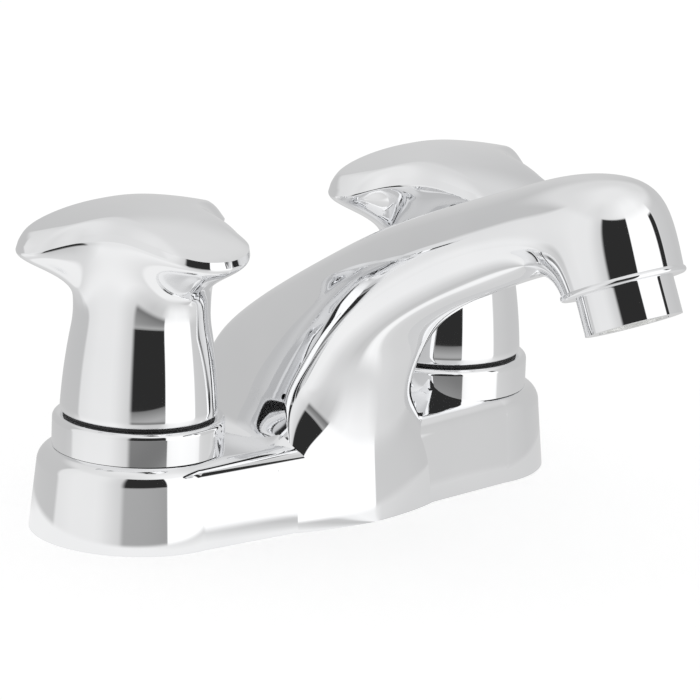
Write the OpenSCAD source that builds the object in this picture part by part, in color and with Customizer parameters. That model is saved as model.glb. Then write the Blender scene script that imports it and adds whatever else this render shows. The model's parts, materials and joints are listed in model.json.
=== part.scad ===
// Centerset bathroom faucet: two lever handles on one cast body with an arched spout.
// Frame: X runs from the hot side to the cold side, the spout points along -Y, Z is up.
// The origin lies on the deck, midway between the two handles. Sizes are in millimetres.

/* [Deck and base] */
// Distance between the two handle axes
centres = 101.6; // [98:0.1:106]
// Radius of the round ends of the base at the deck
base_r = 25.4; // [24:0.1:28]
// How far each round end sits outside its handle axis
end_shift = 1; // [0:0.1:3]
// Height of the base over the deck
base_h = 21; // [20:0.5:26]
// Lean of the base walls per millimetre of height
draft = 0.093; // [0.05:0.001:0.12]
// Rounding of the shoulder around the base's top
shoulder_r = 4.5; // [3:0.1:6]
// Angle by which the front wall comes forward toward the middle
front_angle = 3.9; // [2:0.1:5]
// Wall thickness of the casting
wall = 3; // [2:0.1:4]
// Thickness of the plate that closes the base from below
plate_t = 2; // [1:0.1:3]
// Thickness of the soft seal against the deck
gasket_t = 1.6; // [1:0.1:3]

/* [Centre block and spout] */
// Width of the centre block between its two creases
block_w = 44.4; // [40:0.1:48]
// Reach of the block's front face from the middle plane at the deck
block_front = 31.3; // [30:0.1:34]
// Distance from the handle plane to the outlet axis at the nozzle's lip
reach = 112.6; // [100:1:125]
// Height of the top of the spout over the deck
spout_top = 101.8; // [95:0.1:112]
// Half width of the arm behind the nozzle
arm_half = 14.6; // [13.5:0.1:16]
// Half width of the nozzle at its lip
lip_half = 14.3; // [13.5:0.1:15]
// Reach of the lip's front edge from the outlet axis
lip_front = 14.5; // [13.5:0.1:16]
// Reach of the lip's rear edge from the outlet axis
lip_rear = 14.2; // [13.5:0.1:15]
// Drop of the nozzle's lip below the top of the spout
lip_drop = 25.2; // [22:0.1:30]
// Radius of the hollow curve between the block and the base's top
foot_r = 10; // [6:0.5:12]

/* [Collars and handles] */
// Radius of the chrome collar
collar_r = 21.07; // [20.5:0.01:22]
// Height of the collar
collar_h = 8; // [6:0.1:10]
// Open groove between the collar and the handle
groove = 1.3; // [0.8:0.1:2]
// Radius of the handle's skirt at its lower edge
skirt_r = 19.3; // [18.5:0.1:20]
// Radius of the handle's neck
neck_r = 17.5; // [16.5:0.1:18.5]
// Height of the neck over the skirt's lower edge
neck_h = 25; // [20:0.5:30]
// Height of the middle of the wing over the skirt's lower edge
wing_h = 50.6; // [45:0.5:56]
// Reach of the lever's front tip from the handle axis
lever_reach = 31.6; // [28:0.1:38]
// Reach of each side lobe from the handle axis
lobe_reach = 32.2; // [30:0.1:36]
// Reach of the wing's rear edge from the handle axis
rear_reach = 17.2; // [15:0.1:22]
// Wall thickness of the handle's skirt
skirt_wall = 2.4; // [1.5:0.1:3]
// Outer radius of the hub that holds the spindle
hub_r = 7; // [6:0.1:8]
// Radius of the handle's set screw
screw_r = 2; // [1.5:0.1:2.5]
// Length of the handle's set screw
screw_l = 8; // [6:0.5:9]

/* [Valves] */
// Outer radius of the threaded shank
shank_r = 10.45; // [10:0.05:11]
// Length of the shank under the deck
shank_l = 45; // [35:1:60]
// Radius of the inlet bore
inlet_r = 6; // [5:0.1:7]
// Outer radius of the valve body
valve_r = 14; // [13.2:0.1:15]
// Radius of the cartridge body
cartridge_r = 10.6; // [10:0.1:11]
// Height of the cartridge's guide over the collar
guide_h = 6; // [4:0.5:7]
// Radius of the cartridge's guide
guide_r = 7.5; // [6.5:0.1:9]
// Radius of the spindle
spindle_r = 4; // [3.5:0.1:4.5]
// Length of the spindle inside the handle's hub
spindle_grip = 14; // [10:0.5:16]
// Running clearance between turning parts
fit = 0.05; // [0.02:0.01:0.1]
// Thickness of the rubber seat seal
seal_t = 2.5; // [1.5:0.1:3]
// Thickness of a ceramic disc
disc_t = 2.6; // [2:0.1:3.5]
// Radius of a ceramic disc
disc_r = 8.2; // [7.5:0.1:8.5]
// Outer radius of the tubes that join the valves and feed the nozzle
tube_r = 4.5; // [4:0.1:5]
// Wall thickness of those tubes
tube_wall = 0.9; // [0.6:0.1:1.4]

/* [Outlet and fixings] */
// Radius of the aerator housing
aerator_r = 11.8; // [11.5:0.05:12.5]
// Length of the aerator housing that shows under the lip
aerator_show = 9.2; // [6:0.1:10]
// Forward lean of the outlet axis
outlet_lean = 24.5; // [15:0.5:30]
// Radius of the socket that holds the aerator in the nozzle
socket_r = 11; // [10.5:0.1:11.4]
// Height of that socket
socket_h = 9; // [7:0.5:10]
// Radius of the lock nut across its corners
nut_r = 17; // [15:0.5:19]
// Height of the lock nut
nut_h = 8; // [6:0.5:12]
// Radius of the mounting washer
washer_r = 19; // [17:0.5:22]
// Thickness of the mounting washer
washer_t = 2; // [1.5:0.1:3]
// Thickness of the deck that the faucet is clamped to
deck_t = 12; // [6:1:20]

/* [Hidden] */

chrome = [0.86, 0.87, 0.88];
brass = [0.80, 0.65, 0.32];
copper = [0.80, 0.50, 0.34];
rubber = [0.12, 0.12, 0.12];
ceramic = [0.95, 0.94, 0.90];
plastic = [0.90, 0.90, 0.88];
steel = [0.62, 0.63, 0.65];

$fn = 72;
eps = 0.01;
hot_x = -centres / 2;
cold_x = centres / 2;

// Cubic B-spline through a list of poles, from the first pole to the last one.
function pole(list, i) = let (last = len(list) - 1)
    i < 0 ? 2 * list[0] - list[1]
    : i > last ? 2 * list[last] - list[last - 1]
    : list[i];
function spline(list, t) =
    let (i = min(floor(t), len(list) - 2), u = t - i)
    (pow(1 - u, 3) * pole(list, i - 1)
        + (3 * pow(u, 3) - 6 * pow(u, 2) + 4) * pole(list, i)
        + (-3 * pow(u, 3) + 3 * pow(u, 2) + 3 * u + 1) * pole(list, i + 1)
        + pow(u, 3) * pole(list, i + 2)) / 6;

// Skin over a stack of rings that have the same number of points. It ends in two flat caps,
// or the last ring joins the first one when it is a loop.
module skin(rings, loop = false) {
    n = len(rings[0]);
    m = len(rings);
    points = [for (ring = rings) for (p = ring) p];
    sides = [for (j = [0:m - (loop ? 1 : 2)]) for (i = [0:n - 1])
        let (a = j * n + i, b = j * n + (i + 1) % n, c = (a + n) % (m * n), d = (b + n) % (m * n))
        for (f = [[a, c, d], [a, d, b]]) f];
    first = [for (i = [1:n - 2]) [0, i, i + 1]];
    last = [for (i = [1:n - 2]) [(m - 1) * n, (m - 1) * n + i + 1, (m - 1) * n + i]];
    polyhedron(points, loop ? sides : concat(sides, first, last));
}

// The outlet frame: its origin is the middle of the lip, its -Z axis is the flow.
lip_y = -reach;
lip_z = spout_top - lip_drop;
module at_outlet() { translate([0, lip_y, lip_z]) rotate([-outlet_lean, 0, 0]) children(); }
function outlet_point(v, w) = [lip_y - v * cos(outlet_lean) + w * sin(outlet_lean),
    lip_z + v * sin(outlet_lean) + w * cos(outlet_lean)];

// Stations of the block, the arm and the nozzle. Each has the front point and the rear point
// of a section, its half width, the share of its depth at which it is widest, and the
// fullness of its front and rear halves. The first one lies below the deck plane, where the
// casting is cut off flat.
rise = spout_top - base_h;
function front_y(z) = -block_front + draft * z;
function rear_y(z) = base_r - 0.6 - draft * z;
function arch(u, v) = [-u * reach, base_h + v * rise];
block_half = block_w / 2;
below = 2;
nose = outlet_point(lip_front, 0);
heel = outlet_point(-lip_rear, 0);
stations = [
    [[front_y(-below), -below], [rear_y(-below), -below], block_half, 0.06, 1.5, 8],
    [[front_y(base_h / 2), base_h / 2], [rear_y(base_h / 2), base_h / 2], block_half - 0.2, 0.06, 1.5, 8],
    [[front_y(base_h), base_h], [rear_y(base_h), base_h + 1], block_half - 3.6, 0.1, 1.6, 4],
    [arch(0.272, 0.09), arch(-0.19, 0.19), block_half - 5, 0.2, 1.8, 3],
    [arch(0.29, 0.18), arch(-0.14, 0.285), block_half - 3.6, 0.26, 1.95, 2.6],
    [arch(0.335, 0.3), arch(-0.012, 0.415), 18, 0.28, 2, 2.4],
    [arch(0.41, 0.395), arch(0.138, 0.545), 17, 0.36, 2, 2.2],
    [arch(0.505, 0.48), arch(0.285, 0.667), 16, 0.46, 2, 2.1],
    [arch(0.595, 0.545), arch(0.433, 0.758), arm_half + 0.4, 0.53, 2, 2.1],
    [arch(0.675, 0.598), arch(0.58, 0.842), arm_half, 0.56, 2, 2.1],
    [arch(0.742, 0.64), arch(0.712, 0.914), arm_half - 0.2, 0.56, 2.1, 2.1],
    [arch(0.79, 0.665), arch(0.835, 0.985), arm_half - 0.4, 0.54, 2.3, 2.1],
    [arch(0.833, 0.672), arch(0.995, 1.021), lip_half + 0.1, 0.52, 2.4, 2.1],
    [heel + [1.4, 2.4], arch(1.066, 0.954), lip_half + 0.4, 0.5, 2.3, 2.1],
    [heel, nose, lip_half, 0.5, 2.2, 2.1]];

function station_row(s) = [s[0][0], s[0][1], s[1][0], s[1][1], s[2], s[3], s[4], s[5]];
rows = [for (s = stations) station_row(s)];

// Half of a section: front share up to the widest place, then the rear share.
function half_section(row, inset, steps) =
    let (front = [row[0], row[1]], rear = [row[2], row[3]], depth = norm(rear - front),
        dir = (rear - front) / depth, w = row[4] - inset, d = depth - 2 * inset,
        e = row[5] * d)
    [for (k = [0:steps])
        let (a = 180 * k / steps, fore = a <= 90,
            p = 2 / (fore ? row[6] : row[7]),
            x = w * pow(abs(sin(a)), p),
            u = fore ? e * (1 - pow(abs(cos(a)), p)) : e + (d - e) * pow(abs(cos(a)), p),
            q = front + dir * (u + inset),
            gain = fore ? 0 : pow(sin(2 * (a - 90)), 0.5),
            low = max(0, min(foot_r, foot_r - (q[1] - base_h))),
            hollow = foot_r - sqrt(foot_r * foot_r - low * low))
        [x + (inset > 0 ? 0 : gain * hollow), q[0], q[1]]];
function section(row, inset, steps) =
    let (half = half_section(row, inset, steps))
    concat(half, [for (k = [steps - 1:-1:1]) [-half[k][0], half[k][1], half[k][2]]]);
module spout_skin(inset, from, to, rings, steps) {
    skin([for (j = [0:rings]) section(spline(rows, from + (to - from) * j / rings), inset, steps)]);
}

// Outline of the base, drawn in by d: two round ends, a front that comes forward to the
// middle and a straight back.
function base_ring(d, z) =
    let (r = base_r - d, cx = cold_x + end_shift,
        half = [for (a = [-90 - front_angle:(180 + front_angle) / 18:90.1])
            [cx + r * cos(a), r * sin(a), z]],
        peak = [0, -(cx * sin(front_angle) + r) / cos(front_angle), z])
    concat([peak], half, [for (k = [len(half) - 1:-1:0]) [-half[k][0], half[k][1], z]]);
side_h = base_h - shoulder_r;
module base_skin() {
    skin(concat([base_ring(-draft * below, -below), base_ring(draft * side_h, side_h)],
        [for (a = [15:15:90])
            base_ring(draft * side_h + shoulder_r * (1 - cos(a)), side_h + shoulder_r * sin(a))]));
}
// A hollow curve sweeps the base's shoulder up into each side of the block. It is widest at
// the front, where it leans back with the block's edge, and dies out toward the back.
sweep_in = block_half - 7;
sweep_foot = block_half - 4.6;
sweep_lean = 0.45;
sweep_sink = 0.15;
function front_line(x, d) = abs(x) * tan(front_angle)
    - ((cold_x + end_shift) * sin(front_angle) + base_r - d) / cos(front_angle);
function sweep_point(x, z, d) = [x, front_line(x, d) + sweep_lean * max(0, z - side_h), z];
function sweep_ring(r, d, drop) =
    concat([sweep_point(sweep_in, side_h - 6, d), sweep_point(sweep_in, base_h + r - drop, d)],
        [for (t = [0:10:90]) sweep_point(sweep_foot + r * (1 - cos(t)),
            base_h + r * (1 - sin(t)) - drop - sweep_sink, d)],
        [sweep_point(sweep_foot + r, side_h - 6, d)]);
module base_sweep() {
    skin(concat([for (b = [0:15:90]) sweep_ring(foot_r, draft * side_h + 0.05
                + shoulder_r * (1 - cos(b)), shoulder_r * (1 - sin(b)))],
        [for (k = [1:6]) sweep_ring(foot_r * (1 - k / 7), draft * side_h + shoulder_r
                + (base_r + 5) * k / 6, 0)]));
}
module base_hollow(top) {
    skin([base_ring(wall - 2 * draft * below, -2 * below), base_ring(wall + draft * top, top)]);
}

// Heights over the deck, from the plate up to the handle.
plate_top = gasket_t + plate_t;
seat_z = plate_top + 2.4;
disc_z = seat_z + seal_t;
moving_z = disc_z + disc_t + fit;
foot_z = moving_z + disc_t;
foot_h = 2.8;
barrel_z = foot_z + foot_h;
barrel_h = 7;
barrel_r = spindle_r + 1.2;
chamber_r = disc_r + fit;
collar_z = base_h;
collar_top = collar_z + collar_h;
cap_t = 1.8;
flange_t = 2;
valve_top = collar_top - cap_t - flange_t;
guide_top = collar_top + guide_h;
skirt_z = collar_top + groove;
hub_z = guide_top + 2;
spindle_top = hub_z + spindle_grip;
thread_gap = 0.15;

module at_hot() { translate([hot_x, 0, 0]) children(); }
module at_cold() { translate([cold_x, 0, 0]) children(); }
module ring(outer, inner, h) {
    difference() {
        cylinder(r = outer, h = h);
        translate([0, 0, -1]) cylinder(r = inner, h = h + 2);
    }
}

module spout_body() {
    color(chrome) difference() {
        union() {
            base_skin();
            base_sweep();
            mirror([1, 0, 0]) base_sweep();
            spout_skin(0, 0, len(rows) - 1, 56, 20);
        }
        translate([-centres, -reach, -2 * below]) cube([2 * centres, 2 * reach, 2 * below]);
        base_hollow(base_h - wall);
        spout_skin(wall, 0, len(rows) - 1.6, 24, 10);
        for (x = [hot_x, cold_x])
            translate([x, 0, 0]) cylinder(r = valve_r + thread_gap, h = base_h + 5);
        at_outlet() translate([0, 0, -2]) cylinder(r = socket_r, h = socket_h + 2);
    }
}

plate_gap = 0.15;
module base_sheet(z, t) {
    difference() {
        translate([0, 0, z]) skin([base_ring(wall + plate_gap + draft * z, 0),
            base_ring(wall + plate_gap + draft * (z + t), t)]);
        for (x = [hot_x, cold_x])
            translate([x, 0, z - 1]) cylinder(r = shank_r + thread_gap, h = t + 2);
    }
}
module base_plate() { color(steel) base_sheet(gasket_t, plate_t); }
module deck_gasket() { color(rubber) base_sheet(0, gasket_t); }

// Brass valve body: a threaded shank, a shoulder on the plate and a cup for the cartridge.
// Its side port looks along +X and takes the bridge.
bridge_gap = 0.5;
bridge_z = base_h - wall - tube_r - bridge_gap;
module valve_body() {
    color(brass) difference() {
        union() {
            translate([0, 0, -shank_l]) cylinder(r = shank_r, h = shank_l + plate_top);
            translate([0, 0, plate_top]) cylinder(r = valve_r, h = valve_top - plate_top);
        }
        translate([0, 0, -shank_l - 1]) cylinder(r = inlet_r, h = shank_l + seat_z + 2);
        translate([0, 0, seat_z]) cylinder(r = cartridge_r, h = valve_top);
        translate([0, 0, bridge_z]) rotate([0, 90, 0]) cylinder(r = tube_r, h = valve_r + 1);
    }
}
module hot_valve_body() { at_hot() valve_body(); }
module cold_valve_body() { at_cold() mirror([1, 0, 0]) valve_body(); }

// The bridge joins the two valves, with a tee that the spout's tube stands in.
tee_r = tube_r + 2;
tee_h = 13.5;
tee_z = bridge_z - tube_r - 1;
bridge_half = centres / 2 - cartridge_r - 1;
module mixing_bridge() {
    color(brass) difference() {
        union() {
            translate([-bridge_half, 0, bridge_z]) rotate([0, 90, 0])
                cylinder(r = tube_r, h = 2 * bridge_half);
            translate([0, 0, tee_z]) cylinder(r = tee_r, h = tee_h);
        }
        translate([-bridge_half - 1, 0, bridge_z]) rotate([0, 90, 0])
            cylinder(r = tube_r - tube_wall, h = 2 * bridge_half + 2);
        translate([0, 0, bridge_z]) cylinder(r = tube_r - tube_wall, h = tee_h);
        translate([0, 0, tee_z + tee_h - tube_seat]) cylinder(r = tube_r, h = tube_seat + 1);
    }
}

// Path of the spout's tube in the middle plane: up, a bend, along the arm, a second bend
// and down the outlet axis. The corners are where its straight lines meet.
tube_seat = 4;
arm_slope = atan(0.586 * rise / reach);
arm_point = [-0.577 * reach, base_h + 0.684 * rise];
bend_1 = 22;
bend_2 = 11;
turn_1 = 90 - arm_slope;
turn_2 = 90 + arm_slope - outlet_lean;
corner_1 = [0, arm_point[1] + arm_point[0] * tan(arm_slope)];
corner_up = ((arm_point[0] - lip_y) * sin(arm_slope) + (arm_point[1] - lip_z) * cos(arm_slope))
    / cos(arm_slope - outlet_lean);
corner_2 = outlet_point(0, corner_up);
tube_z = tee_z + tee_h - tube_seat;
tube_end = socket_h - tube_seat;
// Each stop on the path has a place and the angle that the tube has turned through so far.
function bend(corner, r, from, by) =
    let (start = corner - r * tan(by / 2) * [-sin(from), cos(from)],
        centre = start - r * [cos(from), sin(from)])
    [for (k = [0:8]) let (a = from + by * k / 8) [centre + r * [cos(a), sin(a)], a]];
tube_path = concat([[[0, tube_z], 0]], bend(corner_1, bend_1, 0, turn_1),
    bend(corner_2, bend_2, turn_1, turn_2), [[outlet_point(0, tube_end), turn_1 + turn_2]]);
function tube_line(r, b) = [for (stop = tube_path)
    let (q = stop[0] + r * sin(b) * [cos(stop[1]), sin(stop[1])]) [r * cos(b), q[0], q[1]]];
module spout_tube() {
    last = len(tube_path) - 1;
    color(copper) skin([for (b = [345:-15:0])
        let (inner = tube_line(tube_r - tube_wall, b))
        concat(tube_line(tube_r, b), [for (k = [last:-1:0]) inner[k]])], loop = true);
}
screen_r = socket_r - 1.6;
thread_h = tube_end - 2;
module outlet_socket() {
    color(brass) at_outlet() difference() {
        cylinder(r = socket_r, h = socket_h);
        translate([0, 0, -1]) cylinder(r = screen_r + 0.6, h = thread_h + 1);
        translate([0, 0, -1]) cylinder(r = tube_r - tube_wall, h = socket_h + 2);
        translate([0, 0, tube_end]) cylinder(r = tube_r, h = tube_seat + 1);
    }
}

module seat_seal() {
    color(rubber) translate([0, 0, seat_z]) ring(disc_r, inlet_r, seal_t);
}
// The discs carry two openings each, a quarter turn from one another.
module disc(z, angle) {
    color(ceramic) translate([0, 0, z]) rotate([0, 0, angle]) difference() {
        cylinder(r = disc_r, h = disc_t);
        for (side = [-1, 1])
            translate([side * disc_r / 2, 0, -1]) cylinder(r = disc_r / 4, h = disc_t + 2);
    }
}
module cartridge() {
    color(brass) difference() {
        union() {
            translate([0, 0, disc_z]) cylinder(r = cartridge_r - fit, h = valve_top - disc_z);
            translate([0, 0, valve_top]) cylinder(r = valve_r - 0.5, h = flange_t);
            translate([0, 0, valve_top]) cylinder(r = guide_r, h = guide_top - valve_top);
        }
        translate([0, 0, disc_z - 1]) cylinder(r = chamber_r, h = barrel_z + fit - disc_z + 1);
        translate([0, 0, barrel_z]) cylinder(r = barrel_r + fit, h = barrel_h + fit);
        translate([0, 0, barrel_z]) cylinder(r = spindle_r + fit, h = guide_top);
        translate([0, 0, bridge_z]) rotate([0, 90, 0])
            cylinder(r = tube_r - tube_wall, h = cartridge_r + 1);
    }
}
groove_z = barrel_z + 2.5;
seal_r = 0.85;
module spindle() {
    color(brass) difference() {
        union() {
            intersection() {
                translate([0, 0, foot_z]) cylinder(r = disc_r - 0.6, h = foot_h);
                translate([-disc_r, -disc_r / 4, foot_z]) cube([2 * disc_r, disc_r / 2, foot_h]);
            }
            translate([0, 0, barrel_z]) cylinder(r = barrel_r, h = barrel_h);
            translate([0, 0, barrel_z]) cylinder(r = spindle_r, h = spindle_top - barrel_z);
        }
        translate([0, 0, groove_z]) ring(barrel_r + 1, barrel_r - 2 * seal_r, 2 * seal_r + 0.4);
        translate([-spindle_r, spindle_flat, hub_z]) cube([2 * spindle_r, spindle_r, spindle_grip + 1]);
    }
}
spindle_flat = spindle_r - 0.8;
module stem_seal() {
    color(rubber) translate([0, 0, groove_z + seal_r + 0.2]) rotate_extrude()
        translate([barrel_r - seal_r, 0]) circle(r = seal_r, $fn = 24);
}
// The collar is a cap nut: it screws onto the valve body, presses the base's top down and
// holds the cartridge's flange under its lip.
collar_round = 1.4;
module collar() {
    color(chrome) translate([0, 0, collar_z]) rotate_extrude() difference() {
        union() {
            square([collar_r, collar_h - collar_round]);
            square([collar_r - collar_round, collar_h]);
            translate([collar_r - collar_round, collar_h - collar_round]) circle(r = collar_round);
        }
        translate([-1, -1]) square([valve_r + thread_gap + 1, collar_h - cap_t + 1]);
        translate([-1, -1]) square([guide_r + thread_gap + 1, collar_h + 2]);
    }
}

// The wing of the handle seen from above, as half an outline from the front tip round to
// the middle of the rear edge.
wing_poles = [[0, -lever_reach - 0.1], [6, 0.6 - lever_reach], [11.3, 5.1 - lever_reach],
    [14.2, -19.5], [16.2, -12], [18, -5.5], [23, -0.3], [lobe_reach - 2.7, 2.6],
    [lobe_reach + 0.8, 8.5], [lobe_reach - 3.2, 14.8], [19, rear_reach - 0.3],
    [8, rear_reach + 0.3], [0, rear_reach + 0.1]];
wing_steps = 22;
function wing_half(k) = spline(wing_poles, (len(wing_poles) - 1) * k / wing_steps);
wing_outline = concat([for (k = [0:wing_steps]) wing_half(k)],
    [for (k = [wing_steps - 1:-1:1]) let (p = wing_half(k)) [-p[0], p[1]]]);
// The wing sags toward its tips, a little more toward the front one.
wing_sag = 0.0055;
front_sag = 0.0034;
edge_front_sag = 0.0022;
rim_t = 3.4;
rim_in = 2.4;
function sag(p, front) = wing_sag * p * p + front * pow(min(p[1], 0), 2);
function top_z(p) = wing_h - sag(p, front_sag);
function edge_z(p) = wing_h - rim_t - sag(p, edge_front_sag);
function ease(t) = t * t * (3 - 2 * t);
function flat_ring(r, z) = [for (p = wing_outline) let (q = p / norm(p) * r) [q[0], q[1], z]];
function flank_ring(t) = [for (p = wing_outline)
    let (r = neck_r + (norm(p) - neck_r) * ease(pow(t, 1.5)), q = p / norm(p) * r)
    [q[0], q[1], neck_h + (edge_z(p) - neck_h) * t]];
function top_ring(share) = [for (p = wing_outline) let (q = p * share) [q[0], q[1], top_z(q)]];
function rim_ring(a) = [for (p = wing_outline)
    let (low = edge_z(p), q = p * (1 - rim_in / norm(p) * (1 - cos(a))))
    [q[0], q[1], low + (top_z(q) - low) * pow(sin(a), 0.8)]];
module handle_skin() {
    skin(concat(
        [flat_ring(skirt_r - 0.5, 0), flat_ring(skirt_r, 0.6)],
        [for (t = [0.35, 0.7]) flat_ring(skirt_r + (neck_r - skirt_r) * sin(90 * t), neck_h * t)],
        [for (k = [0:12]) flank_ring(k / 12)],
        [for (a = [22.5:22.5:67.5]) rim_ring(a)],
        [for (s = [0.94, 0.85, 0.7, 0.5, 0.25, 0.08]) top_ring(s)]));
}
// The handle is cored from below and keeps a hub for the spindle and a boss for the screw.
core_r = neck_r - skirt_wall;
core_profile = [[0, -1], [core_r, -1], [core_r, neck_h - 1], [core_r - 2, neck_h + 8],
    [hub_r + 1, neck_h + 15], [0, neck_h + 15]];
screw_z = hub_z + spindle_grip / 2;
module handle() {
    color(chrome) difference() {
        translate([0, 0, skirt_z]) handle_skin();
        difference() {
            translate([0, 0, skirt_z]) rotate_extrude() polygon(core_profile);
            translate([0, 0, hub_z]) cylinder(r = hub_r, h = neck_h + 20);
            translate([0, 0, screw_z]) rotate([-90, 0, 0]) cylinder(r = 2 * screw_r, h = core_r + 1);
        }
        difference() {
            translate([0, 0, hub_z - 1]) cylinder(r = spindle_r, h = spindle_grip + 1.5);
            translate([-spindle_r, spindle_flat, hub_z - 1])
                cube([2 * spindle_r, spindle_r, spindle_grip + 3]);
        }
        translate([0, 0, screw_z]) rotate([-90, 0, 0]) cylinder(r = screw_r, h = skirt_r + 5);
    }
}
module handle_screw() {
    color(steel) translate([0, spindle_flat, screw_z]) rotate([-90, 0, 0]) difference() {
        cylinder(r = screw_r, h = screw_l);
        translate([0, 0, screw_l - 2]) cylinder(r = screw_r / 2, h = 3, $fn = 6);
    }
}
module hot_handle() { at_hot() handle(); }
module cold_handle() { at_cold() handle(); }
module hot_handle_screw() { at_hot() handle_screw(); }
module cold_handle_screw() { at_cold() handle_screw(); }
module hot_collar() { at_hot() collar(); }
module cold_collar() { at_cold() collar(); }
module hot_seat_seal() { at_hot() seat_seal(); }
module cold_seat_seal() { at_cold() seat_seal(); }
module hot_fixed_disc() { at_hot() disc(disc_z, 0); }
module cold_fixed_disc() { at_cold() disc(disc_z, 0); }
module hot_moving_disc() { at_hot() disc(moving_z, 90); }
module cold_moving_disc() { at_cold() disc(moving_z, 90); }
module hot_cartridge() { at_hot() cartridge(); }
module cold_cartridge() { at_cold() mirror([1, 0, 0]) cartridge(); }
module hot_spindle() { at_hot() spindle(); }
module cold_spindle() { at_cold() spindle(); }
module hot_stem_seal() { at_hot() stem_seal(); }
module cold_stem_seal() { at_cold() stem_seal(); }

// Outlet: a chrome housing that screws into the socket, with its insert and its washer.
housing_floor = 0.8;
module aerator_housing() {
    color(chrome) at_outlet() difference() {
        union() {
            translate([0, 0, -aerator_show]) cylinder(r = aerator_r, h = aerator_show);
            cylinder(r = screen_r + 0.6, h = thread_h);
        }
        translate([0, 0, housing_floor - aerator_show]) cylinder(r = screen_r, h = socket_h + 10);
        translate([0, 0, -aerator_show - 1]) cylinder(r = screen_r - 1, h = 3);
    }
}
module aerator_insert() {
    color(plastic) at_outlet() translate([0, 0, housing_floor - aerator_show]) difference() {
        cylinder(r = screen_r, h = aerator_show - housing_floor);
        for (row = [1:2]) for (k = [0:6 * row - 1]) rotate([0, 0, 60 / row * k])
            translate([row * screen_r / 3, 0, -1]) cylinder(r = 0.9, h = aerator_show + 2, $fn = 20);
    }
}
module aerator_washer() {
    color(rubber) at_outlet() ring(screen_r, tube_r, thread_h);
}

// Under the deck each shank carries a washer and a six-sided lock nut.
module washer() {
    color(steel) translate([0, 0, -deck_t - washer_t]) ring(washer_r, shank_r + thread_gap, washer_t);
}
module lock_nut() {
    color(brass) translate([0, 0, -deck_t - washer_t - nut_h]) difference() {
        cylinder(r = nut_r, h = nut_h, $fn = 6);
        translate([0, 0, -1]) cylinder(r = shank_r, h = nut_h + 2);
    }
}
module hot_washer() { at_hot() washer(); }
module cold_washer() { at_cold() washer(); }
module hot_lock_nut() { at_hot() lock_nut(); }
module cold_lock_nut() { at_cold() lock_nut(); }

spout_body();
base_plate();
deck_gasket();
hot_valve_body();
cold_valve_body();
mixing_bridge();
spout_tube();
outlet_socket();
hot_seat_seal();
cold_seat_seal();
hot_fixed_disc();
cold_fixed_disc();
hot_moving_disc();
cold_moving_disc();
hot_cartridge();
cold_cartridge();
hot_spindle();
cold_spindle();
hot_stem_seal();
cold_stem_seal();
hot_collar();
cold_collar();
hot_handle();
cold_handle();
hot_handle_screw();
cold_handle_screw();
aerator_housing();
aerator_insert();
aerator_washer();
hot_washer();
cold_washer();
hot_lock_nut();
cold_lock_nut();
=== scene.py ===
import json
import math

import bmesh
import bpy
import numpy as np
from mathutils import Matrix, Vector


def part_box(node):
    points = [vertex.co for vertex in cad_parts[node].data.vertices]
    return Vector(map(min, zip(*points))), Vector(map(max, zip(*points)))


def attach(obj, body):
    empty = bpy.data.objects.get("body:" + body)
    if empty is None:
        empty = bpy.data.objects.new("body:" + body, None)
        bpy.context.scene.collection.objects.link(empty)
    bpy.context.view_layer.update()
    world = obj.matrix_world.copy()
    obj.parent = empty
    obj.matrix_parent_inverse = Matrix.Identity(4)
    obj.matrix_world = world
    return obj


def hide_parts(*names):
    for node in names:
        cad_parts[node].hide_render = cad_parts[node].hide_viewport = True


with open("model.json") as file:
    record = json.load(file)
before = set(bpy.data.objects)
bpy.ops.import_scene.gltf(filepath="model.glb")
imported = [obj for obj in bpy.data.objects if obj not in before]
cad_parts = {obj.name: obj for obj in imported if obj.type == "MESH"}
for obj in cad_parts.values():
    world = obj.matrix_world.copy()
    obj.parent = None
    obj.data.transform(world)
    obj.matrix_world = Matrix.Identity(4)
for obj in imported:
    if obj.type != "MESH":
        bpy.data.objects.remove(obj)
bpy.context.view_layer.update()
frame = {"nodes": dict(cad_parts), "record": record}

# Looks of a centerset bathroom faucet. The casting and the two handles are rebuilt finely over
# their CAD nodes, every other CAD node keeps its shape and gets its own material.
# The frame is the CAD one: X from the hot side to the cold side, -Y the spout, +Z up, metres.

MM = 0.001
NODES = frame["nodes"]


# Driving sizes, in millimetres
def centre_x(node):
    low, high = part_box(node)
    return (low.x + high.x) / 2 / MM


HOT_X = centre_x("hot_collar")
COLD_X = centre_x("cold_collar")
BASE_R = 25.4
END_SHIFT = 1
BASE_H = 21
DRAFT = 0.093
SHOULDER_R = 4.5
FRONT_ANGLE = 3.9
WALL = 3
BLOCK_HALF = 22.2
BLOCK_FRONT = 31.3
REACH = 112.6
SPOUT_TOP = 101.75
ARM_HALF = 14.6
LIP_HALF = 14.3
LIP_FRONT = 14.5
LIP_REAR = 14.2
LIP_DROP = 25.2
FOOT_R = 10
OUTLET_LEAN = math.radians(24.5)
SOCKET_R = 11
SOCKET_H = 9

SKIRT_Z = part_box("hot_handle")[0].z / MM
SKIRT_R = 19.3
# The stem narrows faster and faster up to its neck, where the flare to the wing takes over.
TAPER = (0.045, 0.0033)
TAPER_H = 20
NECK_H = 25
FLARE_H = 20.5
SKIRT_WALL = 2.4
SKIRT_DROP = 0.35
GROOVE = 1.3
RING_R = 18.5
WING_H = 50.6
LEVER_REACH = 31.6
LOBE_REACH = 32.0
REAR_REACH = 17.2


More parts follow.
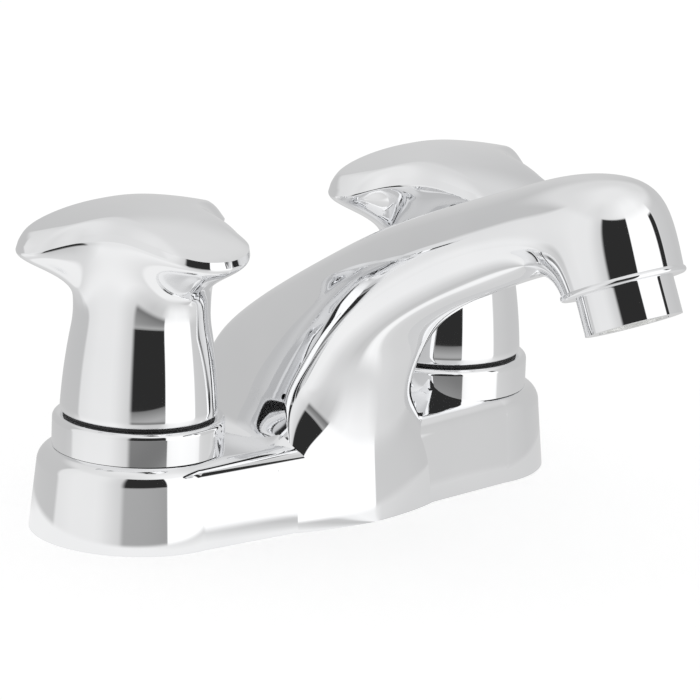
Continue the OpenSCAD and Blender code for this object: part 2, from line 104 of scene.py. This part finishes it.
# Curves and skins
def spline(poles, t):
    """Cubic B-spline through a list of poles, from the first pole to the last one."""
    poles = np.asarray(poles, float)
    padded = np.vstack([2 * poles[0] - poles[1], poles, 2 * poles[-1] - poles[-2]])
    i = min(int(t), len(poles) - 2)
    u = t - i
    weights = np.array([(1 - u) ** 3, 3 * u ** 3 - 6 * u ** 2 + 4,
                        -3 * u ** 3 + 3 * u ** 2 + 3 * u + 1, u ** 3]) / 6
    return weights @ padded[i:i + 4]


def skin(name, rings, caps=True):
    """Mesh object over a stack of rings of the same number of points, given in millimetres."""
    count = len(rings[0])
    points = np.vstack(rings) * MM
    faces = []
    for j in range(len(rings) - 1):
        for i in range(count):
            a, b = j * count + i, j * count + (i + 1) % count
            faces.append((a, b, b + count, a + count))
    if caps:
        faces.append(tuple(range(count - 1, -1, -1)))
        faces.append(tuple(range((len(rings) - 1) * count, len(rings) * count)))
    mesh = bpy.data.meshes.new(name)
    mesh.from_pydata(points.tolist(), [], faces)
    mesh.update()
    obj = bpy.data.objects.new(name, mesh)
    bpy.context.scene.collection.objects.link(obj)
    return obj


def smooth(obj, angle):
    """Smooth shading that keeps the edges sharper than angle, in degrees."""
    mesh = obj.data
    mesh.shade_smooth()
    mesh.set_sharp_from_angle(angle=math.radians(angle))


# The casting
LIP_Y = -REACH
LIP_Z = SPOUT_TOP - LIP_DROP
RISE = SPOUT_TOP - BASE_H


def outlet_point(v, w):
    s, c = math.sin(OUTLET_LEAN), math.cos(OUTLET_LEAN)
    return np.array([LIP_Y - v * c + w * s, LIP_Z + v * s + w * c])


def front_y(z):
    return -BLOCK_FRONT + DRAFT * z


def rear_y(z):
    return BASE_R - 0.6 - DRAFT * z


def arch(u, v):
    return [-u * REACH, BASE_H + v * RISE]


NOSE = outlet_point(LIP_FRONT, 0)
HEEL = outlet_point(-LIP_REAR, 0)
BELOW = 2
# Front point, rear point, half width, share of the depth where it is widest, and the fullness
# of the front and rear halves, from the foot of the block to the lip of the nozzle.
STATIONS = [
    ([front_y(-BELOW), -BELOW], [rear_y(-BELOW), -BELOW], BLOCK_HALF + 3, 0.1, 1.5, 8),
    ([front_y(BASE_H / 2), BASE_H / 2], [rear_y(BASE_H / 2), BASE_H / 2], BLOCK_HALF + 2.6, 0.1, 1.5, 8),
    ([front_y(BASE_H), BASE_H], [rear_y(BASE_H), BASE_H + 1], BLOCK_HALF - 0.7, 0.11, 1.5, 4),
    (arch(0.272, 0.09), arch(-0.19, 0.19), BLOCK_HALF - 2.4, 0.27, 1.95, 3),
    (arch(0.29, 0.18), arch(-0.14, 0.285), BLOCK_HALF - 3.6, 0.26, 1.95, 2.6),
    (arch(0.335, 0.3), arch(-0.012, 0.415), 18, 0.28, 2, 2.4),
    (arch(0.41, 0.395), arch(0.138, 0.545), 17, 0.36, 2, 2.2),
    (arch(0.505, 0.48), arch(0.285, 0.667), 16, 0.46, 2, 2.1),
    (arch(0.595, 0.545), arch(0.433, 0.758), ARM_HALF + 0.4, 0.53, 2, 2.1),
    (arch(0.675, 0.598), arch(0.58, 0.842), ARM_HALF, 0.56, 2, 2.1),
    (arch(0.742, 0.64), arch(0.712, 0.914), ARM_HALF - 0.2, 0.56, 2.1, 2.1),
    (arch(0.79, 0.665), arch(0.835, 0.985), ARM_HALF - 0.4, 0.54, 2.3, 2.1),
    (arch(0.833, 0.672), arch(0.995, 1.021), LIP_HALF + 0.1, 0.52, 2.4, 2.1),
    (HEEL + [1.4, 2.4], arch(1.066, 0.954), LIP_HALF + 0.4, 0.5, 2.3, 2.1),
    (HEEL, NOSE, LIP_HALF, 0.5, 2.2, 2.1)]
ROWS = np.array([[*front, *rear, *shape] for front, rear, *shape in STATIONS])


def section(row, inset=0, steps=96):
    """Closed ring of one section of the spout, drawn in by inset."""
    front, rear = row[0:2], row[2:4]
    depth = np.linalg.norm(rear - front)
    along = (rear - front) / depth
    width, inner = row[4] - inset, depth - 2 * inset
    widest = row[5] * inner
    half = []
    for k in range(steps + 1):
        a = math.pi * k / steps
        fore = 2 * k <= steps
        power = 2 / (row[6] if fore else row[7])
        x = width * abs(math.sin(a)) ** power
        c = abs(math.cos(a)) ** power
        u = widest * (1 - c) if fore else widest + (inner - widest) * c
        q = front + along * (u + inset)
        if not fore and not inset:
            low = min(max(FOOT_R - (q[1] - BASE_H), 0), FOOT_R)
            hollow = FOOT_R - math.sqrt(FOOT_R ** 2 - low ** 2)
            x += hollow * math.sqrt(max(math.sin(2 * a - math.pi), 0))
        half.append([x, q[0], q[1]])
    return np.array(half + [[-x, y, z] for x, y, z in half[-2:0:-1]])


def base_ring(d, z, step=2.0):
    """Outline of the base drawn in by d: round ends, a front that comes forward to the middle."""
    r, cx = BASE_R - d, COLD_X + END_SHIFT
    turn = math.radians(FRONT_ANGLE)
    count = int(180 / step)
    angles = np.linspace(-math.pi / 2 - turn, math.pi / 2, count)
    half = [[cx + r * math.cos(a), r * math.sin(a), z] for a in angles]
    peak = [0, -(cx * math.sin(turn) + r) / math.cos(turn), z]
    return np.array([peak] + half + [[-x, y, z] for x, y, z in half[::-1]])


def base_casting():
    side_h = BASE_H - SHOULDER_R
    rings = [base_ring(WALL + DRAFT * (BASE_H - WALL), BASE_H - WALL), base_ring(WALL, 0),
             base_ring(0.25, 0), base_ring(0, 0.25), base_ring(DRAFT * side_h, side_h)]
    for a in np.radians(np.arange(6, 91, 6)):
        rings.append(base_ring(DRAFT * side_h + SHOULDER_R * (1 - math.cos(a)),
                               side_h + SHOULDER_R * math.sin(a)))
    obj = skin("base_casting", rings)
    smooth(obj, 30)
    return obj


def front_line(x, d):
    turn = math.radians(FRONT_ANGLE)
    return x * math.tan(turn) - ((COLD_X + END_SHIFT) * math.sin(turn) + BASE_R - d) / math.cos(turn)


def sweep_ring(r, d, drop):
    """Section of the hollow curve that sweeps the base's shoulder up into the block."""
    inner, foot, side_h = BLOCK_HALF - 7, BLOCK_HALF - 4.6, BASE_H - SHOULDER_R
    ring = [[inner, side_h - 6], [inner, BASE_H + r - drop]]
    for t in np.radians(np.linspace(0, 90, 31)):
        ring.append([foot + r * (1 - math.cos(t)), BASE_H + r * (1 - math.sin(t)) - drop - 0.15])
    ring.append([foot + r, side_h - 6])
    return np.array([[x, front_line(x, d) + 0.45 * max(0, z - side_h), z] for x, z in ring])


def base_sweep(name, side):
    wall = DRAFT * (BASE_H - SHOULDER_R)
    rings = [sweep_ring(FOOT_R, wall + 0.05 + SHOULDER_R * (1 - math.cos(b)), SHOULDER_R * (1 - math.sin(b)))
             for b in np.radians(np.arange(0, 91, 5))]
    for k in range(1, 19):
        rings.append(sweep_ring(FOOT_R * (1 - k / 21), wall + SHOULDER_R + (BASE_R + 5) * k / 18, 0))
    if side < 0:
        rings = [ring[::-1] * [-1, 1, 1] for ring in rings]
    obj = skin(name, rings)
    smooth(obj, 35)
    return obj


NOZZLE_START = 12.4
BEAD_H = 1.7
# Height over the lip and the growth of the rounded bead that ends the nozzle.
BEAD = [(1.62, 0.05), (1.5, 0.22), (1.3, 0.38), (1.0, 0.5), (0.7, 0.52), (0.4, 0.42), (0.18, 0.22),
        (0.04, -0.05), (0, -0.4)]


def nozzle_end():
    """Rings from the start of the nozzle down to its bead, which is even all round the lip."""
    dense = np.array([section(spline(ROWS, t)) for t in np.linspace(NOZZLE_START, len(ROWS) - 1, 161)])
    s, c = math.sin(OUTLET_LEAN), math.cos(OUTLET_LEAN)
    height = (dense[:, :, 1] - LIP_Y) * s + (dense[:, :, 2] - LIP_Z) * c
    steps = np.arange(len(dense))
    stop = np.array([np.interp(-BEAD_H, -column, steps) for column in height.T])

    def along(share):
        place = np.minimum(stop * share, len(dense) - 1.001)
        low = place.astype(int)
        part = (place - low)[:, None]
        column = np.arange(len(place))
        return dense[low, column] * (1 - part) + dense[low + 1, column] * part

    rings = [along(share) for share in np.linspace(0, 1, 46)[1:]]
    top, lip = rings[-1], dense[-1]
    middle = lip.mean(0)
    outward = lip - middle
    outward /= np.linalg.norm(outward, axis=1)[:, None]
    for w, grow in BEAD:
        rings.append(lip + (top - lip) * w / BEAD_H + outward * grow)
    return rings


def spout_casting():
    start = 2 * BELOW / (2 * BELOW + BASE_H)
    inside = [section(spline(ROWS, t), WALL) for t in (1.0, 0.5, start)]
    outside = [section(spline(ROWS, t)) for t in np.linspace(start, NOZZLE_START, 225)]
    outside += nozzle_end()
    inside[-1][:, 2] = outside[0][:, 2] = 0
    count = len(outside[0])
    s, c = math.sin(OUTLET_LEAN), math.cos(OUTLET_LEAN)
    lip = outside[-1]
    angles = []
    for x, y, z in lip:
        v = -(y - LIP_Y) * c + (z - LIP_Z) * s
        angles.append(math.atan2(x, -v))
    socket = []
    for r, w in ((SOCKET_R + 0.3, 0), (SOCKET_R, 0.3), (SOCKET_R, SOCKET_H)):
        ring = []
        for a in angles:
            y, z = outlet_point(-r * math.cos(a), w)
            ring.append([r * math.sin(a), y, z])
        socket.append(np.array(ring))
    obj = skin("spout_casting", inside + outside + socket)
    smooth(obj, 28)
    return obj


# The handles
WING_POLES = [[0, -LEVER_REACH - 0.1], [6, 0.6 - LEVER_REACH], [11.3, 5.1 - LEVER_REACH],
              [14.2, -19.5], [16.2, -12], [18, -5.5], [23, -0.3], [LOBE_REACH - 2.7, 2.6],
              [LOBE_REACH + 0.8, 8.5], [LOBE_REACH - 3.2, 14.8], [19, REAR_REACH - 0.3],
              [8, REAR_REACH + 0.3], [0, REAR_REACH + 0.1]]
WING_STEPS = 110
WING_SAG = 0.0055
FRONT_SAG = 0.0034
EDGE_FRONT_SAG = 0.001
RIM_H = 1.7
RIM_TILT = 43


def ease(value, low, high):
    t = np.clip((value - low) / (high - low), 0, 1)
    return t * t * (3 - 2 * t)


def wing_outline():
    half = [spline(WING_POLES, (len(WING_POLES) - 1) * k / WING_STEPS) for k in range(WING_STEPS + 1)]
    return np.array(half + [[-x, y] for x, y in half[-2:0:-1]])


def sag(p, front=FRONT_SAG):
    return WING_SAG * (p ** 2).sum(1) + front * np.minimum(p[:, 1], 0) ** 2


def with_z(p, z):
    return np.column_stack([p, np.broadcast_to(z, len(p))])


def stem_r(z):
    low = min(z, TAPER_H)
    r = SKIRT_R - TAPER[0] * low - TAPER[1] * low ** 2
    if z > TAPER_H:
        slope, rest = TAPER[0] + 2 * TAPER[1] * TAPER_H, NECK_H - TAPER_H
        over = min(z - TAPER_H, rest)
        r -= slope * (over - over ** 2 / (2 * rest))
    return r


def groove_shade_ring(name, x):
    """Dark ring put in the groove over the collar as painted shade; it is seen only in that groove."""
    low, high = 0.05 - GROOVE, 0.2
    rings = []
    for r, z in ((RING_R - 2.2, low), (RING_R, low), (RING_R, high), (RING_R - 2.2, high)):
        rings.append(np.array([[x + r * math.cos(a), r * math.sin(a), SKIRT_Z + z]
                               for a in np.linspace(0, 2 * math.pi, 97)[:-1]]))
    obj = skin(name, rings + rings[:1], caps=False)
    smooth(obj, 30)
    return obj


def handle_piece(name, x):
    outline = wing_outline()
    reach = np.linalg.norm(outline, axis=1)[:, None]
    unit = outline / reach
    forward = -outline[:, 1]
    front, tip = ease(forward, -13, -5), ease(forward, 20, 27)
    edge = WING_H - (3.6 - 0.7 * ease(forward, 2, 14)) - sag(outline, EDGE_FRONT_SAG)
    lean = RIM_H * math.tan(math.radians(RIM_TILT))
    lean = 0.5 + (lean - 0.5) * front - (lean - 0.3) * tip
    fade = 2.4 + 3.6 * front
    core = SKIRT_R - 0.5 - SKIRT_WALL
    rings = [with_z(unit * core, 14), with_z(unit * core, -SKIRT_DROP),
             with_z(unit * (SKIRT_R - 0.35), -SKIRT_DROP), with_z(unit * (SKIRT_R - 0.1), 0.1 - SKIRT_DROP),
             with_z(unit * SKIRT_R, 0.4 - SKIRT_DROP)]
    for z in np.linspace(1.6, FLARE_H - 0.5, 18):
        rings.append(with_z(unit * stem_r(z), z))
    for t in np.linspace(0, 1, 44):
        z = FLARE_H + (edge - FLARE_H) * t
        neck = np.array([stem_r(height) for height in z])[:, None]
        blend = ease(t ** 2.25, 0, 1)
        rings.append(with_z(unit * (neck + (reach - neck) * blend), z))
    for share in (0.1, 0.3, 0.5, 0.7, 0.9, 1):
        rings.append(with_z(outline - unit * (lean * share)[:, None], edge + RIM_H * share))
    crown = WING_H - sag(outline - unit * lean[:, None])
    for share in (0.03, 0.08, 0.15, 0.25, 0.35, 0.5, 0.65, 0.8, 1):
        inner = outline - unit * (lean + fade * share)[:, None]
        rings.append(with_z(inner, WING_H - sag(inner) - (crown - edge - RIM_H) * (1 - share) ** 2))
    for share in np.linspace(0.96, 0.02, 28):
        rings.append(with_z(inner * share, WING_H - sag(inner * share)))
    obj = skin(name, [ring + [x, 0, SKIRT_Z] for ring in rings])
    smooth(obj, 50)
    return obj


# Materials
def new_material(name):
    material = bpy.data.materials.new(name)
    material.use_nodes = True
    tree = material.node_tree
    tree.nodes.clear()
    output = tree.nodes.new("ShaderNodeOutputMaterial")
    shader = tree.nodes.new("ShaderNodeBsdfPrincipled")
    tree.links.new(shader.outputs[0], output.inputs[0])
    return material, tree, shader


def noise(tree, scale, detail=3, stretch=(1, 1, 1)):
    """Noise in the object's own coordinates, which are the frame's metres."""
    coords = tree.nodes.new("ShaderNodeTexCoord")
    mapping = tree.nodes.new("ShaderNodeMapping")
    mapping.inputs["Scale"].default_value = stretch
    texture = tree.nodes.new("ShaderNodeTexNoise")
    texture.inputs["Scale"].default_value = scale
    texture.inputs["Detail"].default_value = detail
    tree.links.new(coords.outputs["Object"], mapping.inputs["Vector"])
    tree.links.new(mapping.outputs[0], texture.inputs["Vector"])
    return texture.outputs["Fac"]


def ramp(tree, value, stops):
    node = tree.nodes.new("ShaderNodeValToRGB")
    while len(node.color_ramp.elements) < len(stops):
        node.color_ramp.elements.new(0.5)
    for element, (place, colour) in zip(node.color_ramp.elements, stops):
        element.position = place
        element.color = (*colour, 1)
    tree.links.new(value, node.inputs[0])
    return node.outputs[0]


def spread(tree, value, low, high):
    node = tree.nodes.new("ShaderNodeMapRange")
    node.inputs["From Min"].default_value = 0.3
    node.inputs["From Max"].default_value = 0.7
    node.inputs["To Min"].default_value = low
    node.inputs["To Max"].default_value = high
    tree.links.new(value, node.inputs["Value"])
    return node.outputs[0]


def bump(tree, shader, value, distance, strength=0.5):
    node = tree.nodes.new("ShaderNodeBump")
    node.inputs["Distance"].default_value = distance
    node.inputs["Strength"].default_value = strength
    tree.links.new(value, node.inputs["Height"])
    tree.links.new(node.outputs[0], shader.inputs["Normal"])


def surface(name, dark, light, metallic, rough, scale, bump_mm=0.0, stretch=(1, 1, 1)):
    """Principled surface whose colour and roughness drift between two values."""
    material, tree, shader = new_material(name)
    shader.inputs["Metallic"].default_value = metallic
    drift = noise(tree, scale, stretch=stretch)
    tree.links.new(ramp(tree, drift, [(0.3, dark), (0.7, light)]), shader.inputs["Base Color"])
    fine = noise(tree, scale * 6, stretch=stretch)
    tree.links.new(spread(tree, fine, *rough), shader.inputs["Roughness"])
    if bump_mm:
        bump(tree, shader, fine, bump_mm * MM)
    return material


CHROME = surface("chrome", (0.90, 0.905, 0.915), (0.94, 0.943, 0.95), 1, (0.015, 0.045), 35)
MATERIALS = {
    "chrome_body": CHROME,
    "steel": surface("stamped_steel", (0.50, 0.51, 0.53), (0.62, 0.63, 0.65), 1, (0.28, 0.42), 60, 0.02),
    "rubber": surface("rubber", (0.018, 0.018, 0.019), (0.04, 0.04, 0.042), 0, (0.55, 0.75), 90, 0.03),
    "brass": surface("brass", (0.70, 0.50, 0.20), (0.82, 0.64, 0.31), 1, (0.2, 0.34), 70, 0.01),
    "copper": surface("copper", (0.72, 0.36, 0.22), (0.86, 0.50, 0.34), 1, (0.2, 0.35), 60, 0.01),
    "ceramic": surface("ceramic", (0.88, 0.86, 0.80), (0.95, 0.94, 0.90), 0, (0.08, 0.16), 80),
    "plastic": surface("moulded_plastic", (0.80, 0.80, 0.77), (0.88, 0.88, 0.85), 0, (0.35, 0.5), 80, 0.01)}


def dress(obj, material):
    obj.data.materials.clear()
    obj.data.materials.append(material)


SLOTS = {part["node"]: part["material_slot"] for part in frame["record"]["subparts"]}
for name, obj in NODES.items():
    dress(obj, MATERIALS[SLOTS[name]])
    smooth(obj, 30)

# Pieces over the CAD nodes
base = base_casting()
spout = spout_casting()
sweeps = [base_sweep("hot_side_sweep", -1), base_sweep("cold_side_sweep", 1)]
for piece in (base, spout, *sweeps):
    dress(piece, CHROME)
    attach(piece, "faucet")
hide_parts("spout_body")
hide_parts("spout_body")
for piece in sweeps:
    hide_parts("spout_body")
for side, x in (("hot", HOT_X), ("cold", COLD_X)):
    piece = handle_piece(side + "_lever_shell", x)
    dress(piece, CHROME)
    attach(piece, side + "_lever")
    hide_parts(side + "_handle")

# Painted shade: dark rings in the grooves over the collars, dressed in the rubber material; they are not
# real parts.
for side, x in (("hot", HOT_X), ("cold", COLD_X)):
    piece = groove_shade_ring(side + "_painted_groove_shade", x)
    dress(piece, MATERIALS["rubber"])
    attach(piece, "faucet")

# Camera
CAMERA_AT = (-1.10518, -1.19398, 0.46978)
CAMERA_RIGHT = (0.73401, -0.67825, 0.03461)
CAMERA_UP = (0.14993, 0.21153, 0.96580)
CAMERA_BACK = (-0.66238, -0.70373, 0.25695)
camera_data = bpy.data.cameras.new("camera")
camera = bpy.data.objects.new("camera", camera_data)
bpy.context.scene.collection.objects.link(camera)
turn = Matrix((CAMERA_RIGHT, CAMERA_UP, CAMERA_BACK)).transposed()
camera.matrix_world = Matrix.Translation(Vector(CAMERA_AT)) @ turn.to_4x4()
camera_data.sensor_width = 36
camera_data.lens = 350.44
camera_data.clip_end = 50
bpy.context.scene.camera = camera

# Floor and light
FLOOR_HALF = 6


TENT_R = 0.45
TENT_AT = (0, -0.03, 0.03)
# Grey levels of the light tent, as they show in the metal, by the angle in degrees from the
# camera toward its right: the walls, the floor near its edge, and the ceiling near its edge.
WALLS = [(-180, 204), (-150, 193), (-100, 191), (-94, 191), (-90, 224), (-70, 230), (-45, 230),
          (-38, 226), (-20, 206), (31, 206), (34, 255), (86, 255), (88.5, 202), (120, 195), (160, 195),
         (180, 204)]
FLOOR = [(-180, 202), (-105, 202), (-88, 236), (-40, 238), (-20, 214), (5, 196), (25, 200),
         (40, 240), (55, 248), (78, 243), (95, 216), (120, 209), (180, 202)]
CEILING = [(-180, 214), (-100, 218), (-60, 223), (-25, 218), (5, 228), (35, 243), (65, 243),
           (95, 227), (125, 215), (180, 214)]
FLOOR_MIDDLE = 215
CEILING_MIDDLE = 229
DARK = 44
# Below the dark card its reflection in the table shows, lighter toward the faucet.
UNDER_DARK = [(-24, 200), (-16.5, 112), (-12, 140), (-8.5, 168), (-6.2, 118)]
FLOOR_GLOW = 0.46
CHROME_SHARE = 0.92
SOFT_LIGHT = 0.78


def linear(grey):
    """Light that the chrome gives back as this grey level."""
    return ((grey / 255 + 0.055) / 1.055) ** 2.4 / CHROME_SHARE * (1.06 if grey >= 254 else 1)


class Nodes:
    """Short way to build a node tree out of numbers and sockets."""

    def __init__(self, tree):
        self.tree = tree

    def put(self, socket, value):
        if isinstance(value, bpy.types.NodeSocket):
            self.tree.links.new(value, socket)
        else:
            socket.default_value = value

    def math(self, operation, *values):
        node = self.tree.nodes.new("ShaderNodeMath")
        node.operation = operation
        for socket, value in zip(node.inputs, values):
            self.put(socket, value)
        return node.outputs[0]

    def step(self, value, low, high):
        """Smooth rise from 0 at low to 1 at high."""
        node = self.tree.nodes.new("ShaderNodeMapRange")
        node.interpolation_type = "SMOOTHSTEP"
        for name, number in (("From Min", low), ("From Max", high), ("Value", value)):
            self.put(node.inputs[name], number)
        return node.outputs[0]

    def mix(self, factor, a, b):
        """A plain number between a and b."""
        return self.math("ADD", self.math("MULTIPLY", a, self.math("SUBTRACT", 1.0, factor)),
                         self.math("MULTIPLY", b, factor))

    def shade(self, factor, a, b):
        node = self.tree.nodes.new("ShaderNodeMixShader")
        for socket, value in zip(node.inputs, (factor, a.outputs[0], b.outputs[0])):
            self.put(socket, value)
        return node

    def place(self):
        """The three own coordinates of the object, in metres."""
        coords = self.tree.nodes.new("ShaderNodeTexCoord")
        split = self.tree.nodes.new("ShaderNodeSeparateXYZ")
        self.tree.links.new(coords.outputs["Object"], split.inputs[0])
        return split.outputs

    def side(self, x, y):
        """Angle in degrees from the direction of the camera toward its right."""
        toward = Vector(CAMERA_BACK[:2]).normalized()
        ahead = self.math("ADD", self.math("MULTIPLY", x, toward.x), self.math("MULTIPLY", y, toward.y))
        right = self.math("SUBTRACT", self.math("MULTIPLY", y, toward.x), self.math("MULTIPLY", x, toward.y))
        return self.math("DEGREES", self.math("ARCTAN2", right, ahead))

    def turns(self, side):
        return self.math("ADD", self.math("DIVIDE", side, 360.0), 0.5)

    def ramp_up(self, height, levels):
        """Grey level by the angle over the horizon, from -30 to 0 degrees."""
        node = self.tree.nodes.new("ShaderNodeValToRGB")
        while len(node.color_ramp.elements) < len(levels):
            node.color_ramp.elements.new(0.5)
        for element, (degrees, grey) in zip(node.color_ramp.elements, levels):
            element.position = 1 + degrees / 30
            value = linear(grey)
            element.color = (value, value, value, 1)
        self.put(node.inputs[0], self.math("ADD", self.math("DIVIDE", height, 30.0), 1.0))
        return node.outputs[0]

    def bands(self, turns, levels):
        node = self.tree.nodes.new("ShaderNodeValToRGB")
        while len(node.color_ramp.elements) < len(levels):
            node.color_ramp.elements.new(0.5)
        for element, (degrees, grey) in zip(node.color_ramp.elements, levels):
            element.position = 0.5 + degrees / 360
            value = linear(grey)
            element.color = (value, value, value, 1)
        self.put(node.inputs[0], turns)
        return node.outputs[0]


def box_mask(nodes, side, height, left, right, low, high):
    """1 inside a card of the tent; each edge is a pair of angles that it fades between."""
    mask = nodes.math("MULTIPLY", nodes.step(side, *left),
                      nodes.math("SUBTRACT", 1.0, nodes.step(side, *right)))
    mask = nodes.math("MULTIPLY", mask, nodes.step(height, *low))
    return nodes.math("MULTIPLY", mask, nodes.math("SUBTRACT", 1.0, nodes.step(height, *high)))


def floor():
    """White floor with a soft shadow. The metal sees it only close to the faucet."""
    mesh = bpy.data.meshes.new("floor")
    corners = [(-1, -1), (1, -1), (1, 1), (-1, 1)]
    mesh.from_pydata([(x * FLOOR_HALF, y * FLOOR_HALF, 0) for x, y in corners], [], [(0, 1, 2, 3)])
    obj = bpy.data.objects.new("floor", mesh)
    bpy.context.scene.collection.objects.link(obj)
    material = bpy.data.materials.new("floor")
    material.use_nodes = True
    tree = material.node_tree
    tree.nodes.clear()
    nodes = Nodes(tree)
    x, y, z = nodes.place()
    y = nodes.math("SUBTRACT", y, TENT_AT[1])
    ends = nodes.math("MAXIMUM", nodes.math("SUBTRACT", nodes.math("ABSOLUTE", x), COLD_X * MM), 0.0)
    deep = nodes.math("SUBTRACT", y, -TENT_AT[1])
    around = nodes.math("SQRT", nodes.math("ADD", nodes.math("MULTIPLY", ends, ends),
                                           nodes.math("MULTIPLY", deep, deep)))
    light = nodes.mix(nodes.step(around, 0.01, 0.03), linear(FLOOR_MIDDLE),
                      nodes.bands(nodes.turns(nodes.side(x, y)), FLOOR))
    clear = tree.nodes.new("ShaderNodeBsdfTransparent")
    mirrored = tree.nodes.new("ShaderNodeEmission")
    tree.links.new(light, mirrored.inputs["Strength"])
    in_metal = nodes.shade(nodes.step(around, 0.045, 0.055), mirrored, clear)
    matte = tree.nodes.new("ShaderNodeBsdfDiffuse")
    matte.inputs["Color"].default_value = (0.9, 0.9, 0.9, 1)
    glow = tree.nodes.new("ShaderNodeEmission")
    glow.inputs["Strength"].default_value = FLOOR_GLOW
    seen = tree.nodes.new("ShaderNodeAddShader")
    tree.links.new(matte.outputs[0], seen.inputs[0])
    tree.links.new(glow.outputs[0], seen.inputs[1])
    path = tree.nodes.new("ShaderNodeLightPath")
    geometry = tree.nodes.new("ShaderNodeNewGeometry")
    above = nodes.shade(path.outputs["Is Glossy Ray"], seen, in_metal)
    output = tree.nodes.new("ShaderNodeOutputMaterial")
    tree.links.new(nodes.shade(geometry.outputs["Backfacing"], above, clear).outputs[0], output.inputs[0])
    material.cycles.emission_sampling = "NONE"
    mesh.materials.append(material)


def tent():
    """Light tent that only the metal sees: pale cards all round, one dark gap by the camera."""
    mesh = bpy.data.meshes.new("tent")
    ball = bmesh.new()
    bmesh.ops.create_uvsphere(ball, u_segments=96, v_segments=48, radius=TENT_R)
    ball.to_mesh(mesh)
    ball.free()
    mesh.shade_smooth()
    obj = bpy.data.objects.new("tent", mesh)
    bpy.context.scene.collection.objects.link(obj)
    obj.location = TENT_AT
    obj.visible_camera = obj.visible_diffuse = obj.visible_shadow = False
    obj.visible_volume_scatter = False
    material = bpy.data.materials.new("tent")
    material.use_nodes = True
    tree = material.node_tree
    tree.nodes.clear()
    nodes = Nodes(tree)
    x, y, z = nodes.place()
    side = nodes.side(x, y)
    height = nodes.math("DEGREES", nodes.math("ARCSINE", nodes.math("DIVIDE", z, TENT_R)))
    turns = nodes.turns(side)
    walls, floor_edge, ceiling_edge = (nodes.bands(turns, levels) for levels in (WALLS, FLOOR, CEILING))
    floor_light = nodes.mix(nodes.step(height, -62.0, -22.0), linear(FLOOR_MIDDLE), floor_edge)
    ceiling_light = nodes.mix(nodes.step(height, 50.0, 80.0), ceiling_edge, linear(CEILING_MIDDLE))
    light = nodes.mix(nodes.step(height, 33.0, 47.0), walls, ceiling_light)
    light = nodes.mix(nodes.step(height, -24.0, -10.0), floor_light, light)
    dark = box_mask(nodes, side, height, (-21.0, -14.0), (32.0, 33.5), (-22.0, -15.5), (41.0, 43.0))
    card = nodes.mix(nodes.step(height, -6.3, -6.0), nodes.ramp_up(height, UNDER_DARK), linear(DARK))
    light = nodes.mix(dark, light, card)
    slit = box_mask(nodes, side, height, (78.0, 80.0), (86.0, 88.0), (13.0, 18.0), (33.0, 36.0))
    light = nodes.mix(slit, light, linear(DARK))
    glow = tree.nodes.new("ShaderNodeEmission")
    tree.links.new(light, glow.inputs["Strength"])
    output = tree.nodes.new("ShaderNodeOutputMaterial")
    tree.links.new(glow.outputs[0], output.inputs[0])
    material.cycles.emission_sampling = "NONE"
    mesh.materials.append(material)


def studio():
    """Even pale world for what the tent doesn't light, and white behind the object."""
    world = bpy.data.worlds.new("studio")
    bpy.context.scene.world = world
    world.use_nodes = True
    tree = world.node_tree
    tree.nodes.clear()
    nodes = Nodes(tree)
    path = tree.nodes.new("ShaderNodeLightPath")
    background = tree.nodes.new("ShaderNodeBackground")
    tree.links.new(nodes.mix(path.outputs["Is Camera Ray"], SOFT_LIGHT, 1.0), background.inputs["Strength"])
    output = tree.nodes.new("ShaderNodeOutputWorld")
    tree.links.new(background.outputs[0], output.inputs[0])


bpy.context.scene.view_settings.view_transform = "Standard"
floor()
tent()
studio()
